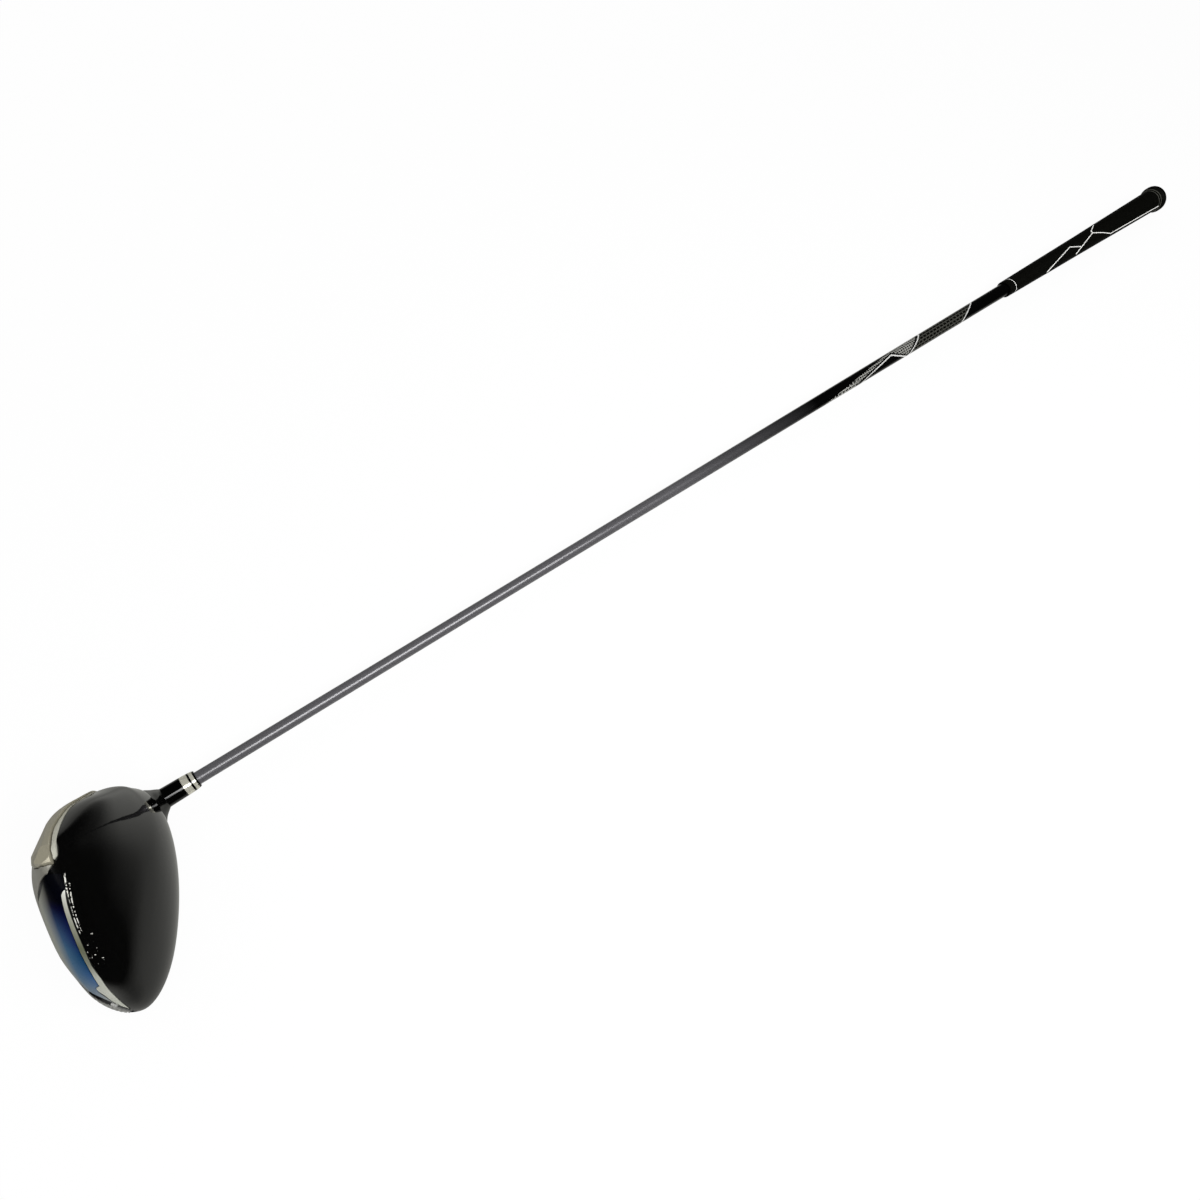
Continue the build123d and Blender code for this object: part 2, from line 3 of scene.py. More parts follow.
import bpy
from bpy.props import FloatProperty, FloatVectorProperty, PointerProperty
from mathutils import Euler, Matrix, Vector


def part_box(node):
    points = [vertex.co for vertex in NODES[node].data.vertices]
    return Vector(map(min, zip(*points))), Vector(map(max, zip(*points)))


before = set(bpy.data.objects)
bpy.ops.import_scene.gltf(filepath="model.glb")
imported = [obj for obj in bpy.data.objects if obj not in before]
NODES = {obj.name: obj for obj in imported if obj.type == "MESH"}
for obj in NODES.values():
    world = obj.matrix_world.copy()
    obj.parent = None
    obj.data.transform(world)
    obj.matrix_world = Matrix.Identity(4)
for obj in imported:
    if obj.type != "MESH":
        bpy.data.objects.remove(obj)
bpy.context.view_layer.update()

bl_info = {
    "name": "Golf Driver Finisher",
    "version": (1, 2, 0),
    "blender": (4, 5, 0),
    "location": "View3D > Sidebar > Golf Driver",
    "description": "Dresses a golf driver in paint, metal, graphite and rubber, and sets its studio",
    "category": "Object",
}

# ---------------------------------------------------------------- places on the club

MM = 0.001
CAP_LOW, CAP_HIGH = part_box("grip_cap")
AXIS = (CAP_LOW + CAP_HIGH) / 2  # the shaft runs along X through this Y and Z
FERRULE_POINT = Vector((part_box("ferrule_ring_top")[1].x, AXIS.y, AXIS.z))

# The painted side of the shaft is turned by PAINT_TURN from straight up. It faces along
# FRONT_OF_PAINT, and ACROSS_PAINT runs across it.
PAINT_TURN = math.radians(28.74)
FRONT_OF_PAINT = Vector((0, -math.sin(PAINT_TURN), math.cos(PAINT_TURN)))
ACROSS_PAINT = Vector((0, math.cos(PAINT_TURN), math.sin(PAINT_TURN)))

# The head's own directions, and the point on the shaft's axis that they start from.
LIE = math.radians(59.0)
ROLL = math.radians(-0.3)
BELOW_FERRULE = 65.5 * MM  # from the top of the ferrule down to that point
HEAD_POINT = FERRULE_POINT - Vector((BELOW_FERRULE, 0, 0))
TO_FRONT = Vector((0, -math.sin(ROLL), -math.cos(ROLL)))
TO_HEEL = Vector((math.cos(LIE), math.sin(LIE) * math.cos(ROLL), -math.sin(LIE) * math.sin(ROLL)))
TO_CROWN = Vector((math.sin(LIE), -math.cos(LIE) * math.cos(ROLL), math.cos(LIE) * math.sin(ROLL)))

# ---------------------------------------------------------------- plan of the paint
#
# All in mm. A place on the shaft is (along, across): along runs from the top of the ferrule to the
# butt, and across runs over the painted side. A place on the head is (front, heel, up).

# Straight edges of paint are flat cuts through this point, so they look straight from there:
# (along, across, in front of the axis).
SIGHT = Vector((45.5, 0.0, 631.4))

SHAFT_TO_BLACK = (400.0, 560.0)  # the grey of the shaft runs into black between these
MESH_EDGE = ((571.0, -5.2), (646.0, 3.4))  # the pale mesh lies to the right of the way along it
TICKS_TO_SQUARES = (604.0, 616.0)  # the mesh changes from loose ticks to close squares
CHEVRON = ((622.2, -4.7), (662.7, 2.15), (677.3, -5.9))
CHEVRON_OUTLINE = 1.9  # how far its black edge reaches beyond its silver line
CHEVRON_LINE = ((615.0, 0.2), (656.0, 0.6))  # (along, half the line's width): it thickens
RING_ONE = (690.2, 1.83, 0.0)  # (middle, slant, lean) of the two silver rings
RING_TWO = (767.3, 1.95, -0.6)
RING_TWO_SHARE = 0.917  # width of the second ring's line, as a share of the first one's
RING_SHADE = (-1.3, 0.85)  # black band under the first ring: its middle, half its width

# The printed meshes: cell along, cell round, pale line, shift of each second row, and the colours
# of the cells and the line. The real ones are finer, and these are as coarse as they have to be to
# show.
TICKS = (4.2, 3.4, 0.55, 0.5, "#060606", "#2A2A28", "#C4C4BE")
SQUARES = (2.8, 2.2, 0.42, 0.0, "#0C0C0B", "#242423", "#B4B4AE")
OLIVE_MESH = (4.75, 3.1, 0.6, 0.5, "#020201", "#0C0C09", "#50504A")
MESH_RADIUS = 6.0  # the tube's radius where the meshes lie

GRIP_RING = (833.9, -0.16, 0.0)
GRIP_RING_HALF = 0.3
# Two grey rings of painted highlight on the cap's dome: their places along, and half their width.
CAP_HIGHLIGHT_RINGS = (1078.0, 1081.0)
CAP_HIGHLIGHT_HALF = 0.35
GRIP_LINES = (
    ((1088.7, -9.4), (1000.7, -7.6), (990.0, -2.3), (976.7, 2.6), (940.0, -7.2)),
    ((951.3, -3.2), (936.7, 2.2), (890.5, -7.4)),
    ((976.6, 3.5), (976.0, 4.8), (983.0, 8.6)),
)

GROOVE_BEHIND = -14.2  # the toe strip's groove lies behind this (front)
GROOVE_ABOVE = 18.5  # and above this (up)
PANEL_SEAM = ((-102.4, 24.9), (-94.1, 20.6))  # (front, up) of the seam along the sole
PANEL_SEAM_HALF = 0.6
# The crown's lacquer ends on the trim at this (front, up), and then runs off it.
TRIM_EDGE = ((-90.0, 32.1), (-56.0, 33.8))
TRIM_RUN_OFF = ((-56.0, 0.0), (-36.0, 4.0))  # (front, rise)

# Painted highlight flecks on the crown's edge: it rises from one height to another to the toe.
GLINT_EDGE = ((-50.0, 32.0), (-78.0, 34.4))  # (heel, up)
GLINT_SIZE = 1.25  # of the noise that breaks the rows up
GLINTS_BEHIND = -25.0  # no painted highlight flecks further to the front than this
# Each row of painted highlight: height over the edge, half its width, its toe end, its heel end,
# and the level of the noise above which it is painted.
GLINT_ROWS = (
    (0.0, 0.26, -74.0, -50.0, 0.49),
    (1.1, 0.2, -73.0, -54.0, 0.51),
    (0.5, 0.9, -98.0, -72.0, 0.65),
    (3.8, 2.4, -86.0, -70.0, 0.7),
)

# Sizes of the grains. Orange peel and knurl are about that large. The others are finer on the real
# club, where brush scratches and metal flakes measure about 0.05, and are drawn as coarse as they
# have to be to show.
PEEL = 0.9
KNURL = 0.9
BRUSH = 0.8
FLAKE = 0.7
POLISH = 0.6
SPRAY = 0.5


# ---------------------------------------------------------------- tools


def linear(hex_colour):
    """An sRGB hex colour as the linear red, green, blue and alpha that Blender works in."""
    out = []
    for i in (1, 3, 5):
        c = int(hex_colour[i : i + 2], 16) / 255
        out.append(c / 12.92 if c <= 0.04045 else ((c + 0.055) / 1.055) ** 2.4)
    return (*out, 1.0)


def add(tree, kind, settings=None, links=None):
    """Adds a node to a tree. settings are its properties and input values. links are what its inputs
    take: a socket, or a node whose first output is meant."""
    node = tree.nodes.new(kind)
    for name, value in (settings or {}).items():
        if isinstance(name, str) and hasattr(node, name):
            setattr(node, name, value)
        else:
            node.inputs[name].default_value = value
    for name, source in (links or {}).items():
        socket = source.outputs[0] if hasattr(source, "outputs") else source
        tree.links.new(socket, node.inputs[name])
    return node


def new_material(name):
    """An empty material with its output and its surface shader: (material, tree, shader)."""
    material = bpy.data.materials.new(name)
    material.use_nodes = True
    tree = material.node_tree
    tree.nodes.clear()
    shader = add(tree, "ShaderNodeBsdfPrincipled")
    add(tree, "ShaderNodeOutputMaterial", links={"Surface": shader.outputs["BSDF"]})
    return material, tree, shader


def dress(material, *names):
    """Gives CAD nodes a material in every slot."""
    for name in names:
        slots = NODES[name].data.materials
        if not slots:
            slots.append(material)
        for i in range(len(slots)):
            slots[i] = material


def place_in(tree, start, directions):
    """The place of a spot in mm from a start point, along three directions: (vector, three parts)."""
    here = add(tree, "ShaderNodeTexCoord")
    from_start = add(
        tree,
        "ShaderNodeVectorMath",
        {"operation": "SUBTRACT", 1: start},
        {0: here.outputs["Object"]},
    )
    parts = [
        add(
            tree,
            "ShaderNodeVectorMath",
            {"operation": "DOT_PRODUCT", 1: direction / MM},
            {0: from_start},
        ).outputs["Value"]
        for direction in directions
    ]
    return add(tree, "ShaderNodeCombineXYZ", links=dict(zip("XYZ", parts))), parts


def on_head(tree):
    """The place of a spot on the head, in mm to the front, to the heel and up to the crown."""
    return place_in(tree, HEAD_POINT, (TO_FRONT, TO_HEEL, TO_CROWN))


def on_shaft(tree):
    """The place of a spot on the shaft, in mm along, across and in front of the axis."""
    return place_in(tree, FERRULE_POINT, (Vector((1, 0, 0)), ACROSS_PAINT, FRONT_OF_PAINT))


def grain(tree, shader, size, strength, depth, roughness, place=None, stretch=None, tone=None):
    """Unevenness of a finish: noise of a size in mm that moves its roughness between two values and
    lifts its surface by up to a depth in mm. Stretched, it is the scratches of a brush. tone is
    (colour, share): the noise darkens and lightens the colour by that share. It returns the noise,
    and the toned colour or None."""
    place = place or on_head(tree)[0]
    if stretch:
        place = add(
            tree, "ShaderNodeVectorMath", {"operation": "MULTIPLY", 1: stretch}, {0: place}
        )
    noise = add(
        tree,
        "ShaderNodeTexNoise",
        {"Scale": 1 / size, "Detail": 4.0, "Roughness": 0.6},
        {"Vector": place},
    )
    gloss = add(
        tree,
        "ShaderNodeMapRange",
        {"From Min": 0.3, "From Max": 0.7, "To Min": roughness[0], "To Max": roughness[1]},
        {"Value": noise},
    )
    tree.links.new(gloss.outputs["Result"], shader.inputs["Roughness"])
    bump = add(
        tree, "ShaderNodeBump", {"Strength": strength, "Distance": depth * MM}, {"Height": noise}
    )
    tree.links.new(bump.outputs["Normal"], shader.inputs["Normal"])
    if tone is None:
        return noise, None
    colour, share = tone
    toned = add(tree, "ShaderNodeValToRGB", links={"Fac": noise})
    for element, at, level in zip(toned.color_ramp.elements, (0.32, 0.68), (1 - share, 1 + share)):
        element.position = at
        element.color = (*(part * level for part in colour[:3]), 1.0)
    return noise, toned.outputs["Color"]


def coats(tree, colour, *layers):
    """Coats of paint over a colour, in their order: each is (paint, mask) and covers where its mask
    is 1. A colour or paint is a hex string, linear parts, a socket or a node."""
    for paint, mask in layers:
        mix = add(tree, "ShaderNodeMix", {"data_type": "RGBA"}, {0: mask})
        for socket, part in ((6, colour), (7, paint)):
            part = part.outputs[0] if hasattr(part, "outputs") else part
            if isinstance(part, bpy.types.NodeSocket):
                tree.links.new(part, mix.inputs[socket])
            else:
                mix.inputs[socket].default_value = linear(part) if isinstance(part, str) else part
        colour = mix.outputs[2]
    return colour


def colours_along(tree, value, stops):
    """Colours that run into each other along a value in mm: stops are (value, colour), each colour a
    hex string or linear parts."""
    low, high = stops[0][0], stops[-1][0]
    share = add(tree, "ShaderNodeMapRange", {"From Min": low, "From Max": high}, {"Value": value})
    colours = add(tree, "ShaderNodeValToRGB", links={"Fac": share})
    elements = colours.color_ramp.elements
    while len(elements) < len(stops):
        elements.new(0.5)
    for element, (at, colour) in zip(elements, stops):
        element.position = (at - low) / (high - low)
        element.color = linear(colour) if isinstance(colour, str) else colour
    return colours


# ---------------------------------------------------------------- lines of paint


def cut(tree, spot, start, end):
    """How far in mm a spot lies beside the flat cut through start and end, (along, across): over 0
    on the side that lies to the left of the way from start to end."""
    first = Vector((*start, 0.0))
    side = (SIGHT - first).cross(Vector((*end, 0.0)) - first).normalized()
    beside = add(tree, "ShaderNodeVectorMath", {"operation": "DOT_PRODUCT", 1: side}, {0: spot})
    return add(
        tree,
        "ShaderNodeMath",
        {"operation": "SUBTRACT", 1: side.dot(first)},
        {0: beside.outputs["Value"]},
    )


def slanted_cut(tree, spot, middle, slant, lean):
    """How far in mm a spot lies above a flat cut right round the shaft. The cut runs slant mm along
    for each mm across, and lean mm along for each mm to the front."""
    up = Vector((1.0, -slant, -lean)).normalized()
    beside = add(tree, "ShaderNodeVectorMath", {"operation": "DOT_PRODUCT", 1: up}, {0: spot})
    return add(
        tree,
        "ShaderNodeMath",
        {"operation": "SUBTRACT", 1: up.x * middle},
        {0: beside.outputs["Value"]},
    )


def stripe(tree, spot, points, width):
    """1 on a painted line of a width through points of (along, across), all in mm, and 0 beside it."""
    lines = None
    for start, end in zip(points, points[1:]):
        first, last = Vector((*start, 0.0)), Vector((*end, 0.0))
        run = last - first
        side = run.cross(SIGHT - first).normalized()
        to_first, to_last = (SIGHT - first).normalized(), (SIGHT - last).normalized()
        onward = (run - run.dot(to_first) * to_first).normalized()
        backward = (run.dot(to_last) * to_last - run).normalized()
        inside = None
        for way, point in ((side, first), (-side, first), (onward, first), (backward, last)):
            gap = add(tree, "ShaderNodeVectorMath", {"operation": "DOT_PRODUCT", 1: way}, {0: spot})
            gap = add(
                tree,
                "ShaderNodeMath",
                {"operation": "ADD", 1: width / 2 - way.dot(point)},
                {0: gap.outputs["Value"]},
            )
            if inside:
                gap = add(tree, "ShaderNodeMath", {"operation": "MINIMUM"}, {0: inside, 1: gap})
            inside = gap
        if lines:
            inside = add(tree, "ShaderNodeMath", {"operation": "MAXIMUM"}, {0: lines, 1: inside})
        lines = inside
    return add(tree, "ShaderNodeMath", {"operation": "GREATER_THAN", 1: 0.0}, {0: lines})


# ---------------------------------------------------------------- finishes of the head


def edge_glint_flecks(tree, place, front, heel, up):
    """1 where a painted highlight lies on the lacquer, in broken rows along the crown's edge."""
    (heel_end, heel_height), (toe_end, toe_height) = GLINT_EDGE
    edge = add(
        tree,
        "ShaderNodeMapRange",
        {"From Min": heel_end, "From Max": toe_end, "To Min": heel_height, "To Max": toe_height},
        {"Value": heel},
    )
    rise = add(tree, "ShaderNodeMath", {"operation": "SUBTRACT"}, {0: up, 1: edge})
    noise = add(
        tree, "ShaderNodeTexNoise", {"Scale": 1 / GLINT_SIZE, "Detail": 4.0}, {"Vector": place}
    )
    mask = None
    for height, half, toe, end, level in GLINT_ROWS:
        in_row = add(
            tree, "ShaderNodeMath", {"operation": "COMPARE", 1: height, 2: half}, {0: rise}
        )
        within = add(
            tree,
            "ShaderNodeMath",
            {"operation": "COMPARE", 1: (toe + end) / 2, 2: (end - toe) / 2},
            {0: heel},
        )
        broken = add(tree, "ShaderNodeMath", {"operation": "GREATER_THAN", 1: level}, {0: noise})
        glint = add(tree, "ShaderNodeMath", {"operation": "MULTIPLY"}, {0: in_row, 1: within})
        glint = add(tree, "ShaderNodeMath", {"operation": "MULTIPLY"}, {0: glint, 1: broken})
        if mask:
            glint = add(tree, "ShaderNodeMath", {"operation": "MAXIMUM"}, {0: mask, 1: glint})
        mask = glint
    behind = add(tree, "ShaderNodeMath", {"operation": "LESS_THAN", 1: GLINTS_BEHIND}, {0: front})
    return add(tree, "ShaderNodeMath", {"operation": "MULTIPLY"}, {0: mask, 1: behind})


def black_lacquer(name, black, coat_roughness, painted_edge_highlight=False):
    """Gloss black lacquer, sprayed and clear coated: a deep black with a mirror image of what stands
    near, a grey bloom where the pale floor grazes it, and a slight orange peel. Along the crown's
    rolled edge lie pale flecks of painted highlight."""
    material, tree, shader = new_material(name)
    place, (front, heel, up) = on_head(tree)
    noise, colour = grain(
        tree,
        shader,
        size=PEEL,
        strength=0.3,
        depth=0.01,
        roughness=(0.3, 0.42),
        place=place,
        tone=(black, 0.5),
    )
    if painted_edge_highlight:
        # Pale flecks of painted highlight along the crown's rolled edge.
        glints = edge_glint_flecks(tree, place, front, heel, up)
        colour = coats(tree, colour, ("#DEDED6", glints))
    tree.links.new(colour, shader.inputs["Base Color"])
    shader.inputs["Specular IOR Level"].default_value = 0.0  # all its shine is the clear coat's
    shader.inputs["Coat Weight"].default_value = 1.0
    shader.inputs["Coat Roughness"].default_value = coat_roughness
    peel = add(
        tree, "ShaderNodeBump", {"Strength": 0.06, "Distance": 0.01 * MM}, {"Height": noise}
    )
    tree.links.new(peel.outputs["Normal"], shader.inputs["Coat Normal"])
    return material


def brushed_metal(name, colour, streaks, rough, metallic=0.75, stretch=(1.0, 1.0, 12.0)):
    """Brushed metal: fine scratches all one way, which spread each highlight across them. streaks is
    the share by which they darken and lighten it."""
    material, tree, shader = new_material(name)
    _, toned = grain(
        tree,
        shader,
        size=BRUSH,
        strength=0.15,
        depth=0.04,
        roughness=(rough - 0.07, rough + 0.07),
        stretch=stretch,
        tone=(colour, streaks),
    )
    tree.links.new(toned, shader.inputs["Base Color"])
    shader.inputs["Metallic"].default_value = metallic
    return material


def grooved_strip():
    """Machined stainless strip: bright brushed steel, with a dark groove along the blue panel."""
    material, tree, shader = new_material("Machined stainless steel")
    place, (front, _, up) = on_head(tree)
    _, steel = grain(
        tree,
        shader,
        size=BRUSH,
        strength=0.15,
        depth=0.04,
        roughness=(0.21, 0.35),
        place=place,
        stretch=(1.0, 1.0, 12.0),
        tone=(linear("#ABABA8"), 0.32),
    )
    behind = add(
        tree, "ShaderNodeMath", {"operation": "LESS_THAN", 1: GROOVE_BEHIND}, {0: front}
    )
    above = add(tree, "ShaderNodeMath", {"operation": "GREATER_THAN", 1: GROOVE_ABOVE}, {0: up})
    groove = add(tree, "ShaderNodeMath", {"operation": "MULTIPLY"}, {0: behind, 1: above})
    tree.links.new(coats(tree, steel, ("#101010", groove)), shader.inputs["Base Color"])
    shader.inputs["Metallic"].default_value = 0.6
    return material


def satin_nickel_painted_reflection(black):
    """Satin nickel plating with a painted reflection: bright at both ends and olive grey in the
    middle. The crown's lacquer runs over its upper edge."""
    material, tree, shader = new_material("Satin nickel, painted reflection")
    place, (front, _, up) = on_head(tree)
    noise, _ = grain(
        tree,
        shader,
        size=BRUSH,
        strength=0.15,
        depth=0.03,
        roughness=(0.3, 0.42),
        place=place,
        stretch=(12.0, 1.0, 1.0),
    )
    # Painted reflection: bright at both ends and olive grey in the middle, as the plating mirrors the
    # room.
    along = colours_along(
        tree,
        front,
        (
            (-95.0, "#E2E3DD"),
            (-89.0, "#C9C9BE"),
            (-80.0, "#A9AA99"),
            (-66.0, "#6E7259"),
            (-56.0, "#8F9182"),
            (-48.0, "#C6C8BC"),
            (-30.0, "#D8DACE"),
            (-14.0, "#C6C8BC"),
        ),
    )
    worn = add(tree, "ShaderNodeMapRange", {"To Min": 0.0, "To Max": 0.25}, {"Value": noise})
    # The lacquer ends at a height that rises slowly at first, then runs off the strip.
    slow, fast = (
        add(
            tree,
            "ShaderNodeMapRange",
            {"From Min": start, "From Max": end, "To Min": low, "To Max": high},
            {"Value": front},
        )
        for (start, low), (end, high) in (TRIM_EDGE, TRIM_RUN_OFF)
    )
    edge = add(tree, "ShaderNodeMath", {"operation": "ADD"}, {0: slow, 1: fast})
    lacquered = add(tree, "ShaderNodeMath", {"operation": "GREATER_THAN"}, {0: up, 1: edge})
    colour = coats(tree, along, ("#6F705F", worn), (black, lacquered))
    tree.links.new(colour, shader.inputs["Base Color"])
    shader.inputs["Metallic"].default_value = 0.15
    return material


def blue_enamel_painted_reflection(navy, steel_blue):
    """Blue metallic enamel under thin clear lacquer, with a painted reflection: black at the heel end,
    navy in the middle and steel blue towards the toe, teal lower down and grey along its lower edge."""
    material, tree, shader = new_material("Blue metallic enamel, painted reflection")
    place, (front, _, up) = on_head(tree)
    noise, _ = grain(
        tree, shader, size=FLAKE, strength=0.2, depth=0.01, roughness=(0.25, 0.4), place=place
    )
    # Blue enamel with painted reflection: black at the heel end, navy in the middle, steel blue and
    # grey near the toe.
    along = colours_along(
        tree,
        front,
        (
            (-99.0, "#040404"),
            (-90.0, "#020208"),
            (-82.0, "#000038"),
            (-68.0, navy),
            (-58.0, "#003C66"),
            (-48.0, "#2A5484"),
            (-38.0, steel_blue),
            (-24.0, "#A2A6A6"),
        ),
    )
    flake = add(tree, "ShaderNodeMapRange", {"To Min": 0.0, "To Max": 0.2}, {"Value": noise})
    # Painted reflection lower down: teal towards the toe and grey along the lower edge.
    lower = add(
        tree,
        "ShaderNodeMapRange",
        {"From Min": 31.0, "From Max": 23.5, "To Min": 0.0, "To Max": 0.8},
        {"Value": up},
    )
    toeward = add(
        tree, "ShaderNodeMapRange", {"From Min": -86.0, "From Max": -62.0}, {"Value": front}
    )
    teal_reflection = add(tree, "ShaderNodeMath", {"operation": "MULTIPLY"}, {0: lower, 1: toeward})
    grey_edge_reflection = add(
        tree,
        "ShaderNodeMapRange",
        {"From Min": 23.0, "From Max": 15.5, "To Min": 0.0, "To Max": 0.9},
        {"Value": up},
    )
    # The dark seam along the sole.
    (start, low), (end, high) = PANEL_SEAM
    seam_height = add(
        tree,
        "ShaderNodeMapRange",
        {"clamp": False, "From Min": start, "From Max": end, "To Min": low, "To Max": high},
        {"Value": front},
    )
    seam = add(
        tree,
        "ShaderNodeMath",
        {"operation": "COMPARE", 2: PANEL_SEAM_HALF},
        {0: up, 1: seam_height},
    )
    colour = coats(
        tree,
        along,
        ("#000820", flake),
        ("#3A6484", teal_reflection),
        ("#9A9B8E", grey_edge_reflection),
        ("#060606", seam),
    )
    tree.links.new(colour, shader.inputs["Base Color"])
    shader.inputs["Specular IOR Level"].default_value = 0.05
    shader.inputs["Coat Weight"].default_value = 0.1
    shader.inputs["Coat Roughness"].default_value = 0.05
    return material


# ---------------------------------------------------------------- finishes of the shaft and grip


def acetate():
    """Turned and polished black acetate: a hard gloss with a thin, sharp highlight."""
    material, tree, shader = new_material("Polished black acetate")
    _, toned = grain(
        tree,
        shader,
        size=POLISH,
        strength=0.05,
        depth=0.01,
        roughness=(0.07, 0.11),
        tone=(linear("#020202"), 0.6),
    )
    tree.links.new(toned, shader.inputs["Base Color"])
    return material


def graphite(tip_grey, silver_paint, silver_line):
    """Clear-coated graphite tube. It is painted dark grey from the tip, runs into black towards the
    grip and carries fields of fine mesh, cut off by thin silver lines."""
    material, tree, shader = new_material("Painted graphite")
    spot, (along, across, front) = on_shaft(tree)
    _, grey = grain(
        tree,
        shader,
        size=SPRAY,
        strength=0.1,
        depth=0.01,
        roughness=(0.3, 0.4),
        place=spot,
        tone=(tip_grey, 0.23),
    )
    fade_from, fade_to = SHAFT_TO_BLACK
    fade = add(
        tree, "ShaderNodeMapRange", {"From Min": fade_from, "From Max": fade_to}, {"Value": along}
    )

    # The meshes are laid on the unrolled tube: mm along and mm round it.
    angle = add(tree, "ShaderNodeMath", {"operation": "ARCTAN2"}, {0: across, 1: front})
    round_tube = add(tree, "ShaderNodeMath", {"operation": "MULTIPLY", 1: MESH_RADIUS}, {0: angle})
    unrolled = add(tree, "ShaderNodeCombineXYZ", links={"X": along, "Y": round_tube})
    ticks, squares, olive = (
        add(
            tree,
            "ShaderNodeTexBrick",
            {
                "Brick Width": length,
                "Row Height": width,
                "Mortar Size": line,
                "offset": shift,
                "Color1": linear(darker),
                "Color2": linear(dark),
                "Mortar": linear(pale),
                "Scale": 1.0,
            },
            {"Vector": unrolled},
        )
        for length, width, line, shift, darker, dark, pale in (TICKS, SQUARES, OLIVE_MESH)
    )
    ticks_end, squares_start = TICKS_TO_SQUARES
    closer = add(
        tree,
        "ShaderNodeMapRange",
        {"From Min": ticks_end, "From Max": squares_start},
        {"Value": along},
    )
    pale_mesh = coats(tree, ticks, (squares, closer))

    # The pale mesh starts in a point and ends below the first silver ring.
    ring_one = slanted_cut(tree, spot, *RING_ONE)
    ring_two = slanted_cut(tree, spot, *RING_TWO)
    under_edge = add(
        tree, "ShaderNodeMath", {"operation": "LESS_THAN", 1: 0.0}, {0: cut(tree, spot, *MESH_EDGE)}
    )
    before_one = add(tree, "ShaderNodeMath", {"operation": "LESS_THAN", 1: 0.0}, {0: ring_one})
    field = add(tree, "ShaderNodeMath", {"operation": "MULTIPLY"}, {0: under_edge, 1: before_one})

    # A chevron cuts into it: black inside a silver line that thickens to its peak, with a black
    # edge. Beyond its peak the cut turns down.
    foot, peak, end = CHEVRON
    chevron = add(
        tree,
        "ShaderNodeMath",
        {"operation": "MAXIMUM"},
        {0: cut(tree, spot, foot, peak), 1: cut(tree, spot, peak, end)},
    )
    inside = add(
        tree, "ShaderNodeMath", {"operation": "LESS_THAN", 1: CHEVRON_OUTLINE}, {0: chevron}
    )
    (thin_at, thin), (thick_at, thick) = CHEVRON_LINE
    half = add(
        tree,
        "ShaderNodeMapRange",
        {"From Min": thin_at, "From Max": thick_at, "To Min": thin, "To Max": thick},
        {"Value": along},
    )
    silver = add(tree, "ShaderNodeMath", {"operation": "COMPARE", 1: 0.0}, {0: chevron, 2: half})

    # A field of dark olive mesh lies between the two silver rings, and black beyond them.
    beyond_one = add(tree, "ShaderNodeMath", {"operation": "GREATER_THAN", 1: 0.0}, {0: ring_one})
    beyond_two = add(tree, "ShaderNodeMath", {"operation": "GREATER_THAN", 1: 0.0}, {0: ring_two})
    ring_half = silver_line / MM / 2
    shade_middle, shade_half = RING_SHADE
    shade, line_one, line_two = (
        add(tree, "ShaderNodeMath", {"operation": "COMPARE", 1: middle, 2: reach}, {0: ring})
        for ring, middle, reach in (
            (ring_one, shade_middle, shade_half),
            (ring_one, 0.0, ring_half),
            (ring_two, 0.0, ring_half * RING_TWO_SHARE),
        )
    )
    colour = coats(
        tree,
        grey,
        ("#020202", fade),
        (pale_mesh, field),
        ("#040404", inside),
        (silver_paint, silver),
        (olive, beyond_one),
        ("#020202", beyond_two),
        ("#040404", shade),
        (silver_paint, line_one),
        (silver_paint, line_two),
    )
    tree.links.new(colour, shader.inputs["Base Color"])
    shader.inputs["Metallic"].default_value = 0.35
    shader.inputs["Specular IOR Level"].default_value = 0.0  # all its shine is the clear coat's
    shader.inputs["Coat Weight"].default_value = 0.9
    shader.inputs["Coat Roughness"].default_value = 0.2
    return material


def grip_rubber(black, white_paint, line_width):
    """Moulded black rubber: a dull, finely knurled black that hardly shines, with thin white paint in
    its moulded grooves and two grey rings of painted highlight on the cap's dome."""
    material, tree, shader = new_material("Moulded black rubber")
    spot, (along, _, _) = on_shaft(tree)
    _, rubber = grain(
        tree,
        shader,
        size=KNURL,
        strength=0.5,
        depth=0.12,
        roughness=(0.5, 0.7),
        place=spot,
        tone=(black, 0.8),
    )
    # Painted highlight: two grey rings where the cap's dome catches the light.
    rim_highlights = [
        add(
            tree,
            "ShaderNodeMath",
            {"operation": "COMPARE", 1: height, 2: CAP_HIGHLIGHT_HALF},
            {0: along},
        )
        for height in CAP_HIGHLIGHT_RINGS
    ]
    rim_highlight = add(tree, "ShaderNodeMath", {"operation": "MAXIMUM"}, {0: rim_highlights[0], 1: rim_highlights[1]})
    paint = add(
        tree,
        "ShaderNodeMath",
        {"operation": "COMPARE", 1: 0.0, 2: GRIP_RING_HALF},
        {0: slanted_cut(tree, spot, *GRIP_RING)},
    )
    for points in GRIP_LINES:
        line = stripe(tree, spot, points, line_width / MM)
        paint = add(tree, "ShaderNodeMath", {"operation": "MAXIMUM"}, {0: paint, 1: line})
    colour = coats(tree, rubber, ("#55554E", rim_highlight), (white_paint, paint))
    tree.links.new(colour, shader.inputs["Base Color"])
    shader.inputs["Specular IOR Level"].default_value = 0.08
    return material


# ---------------------------------------------------------------- the studio


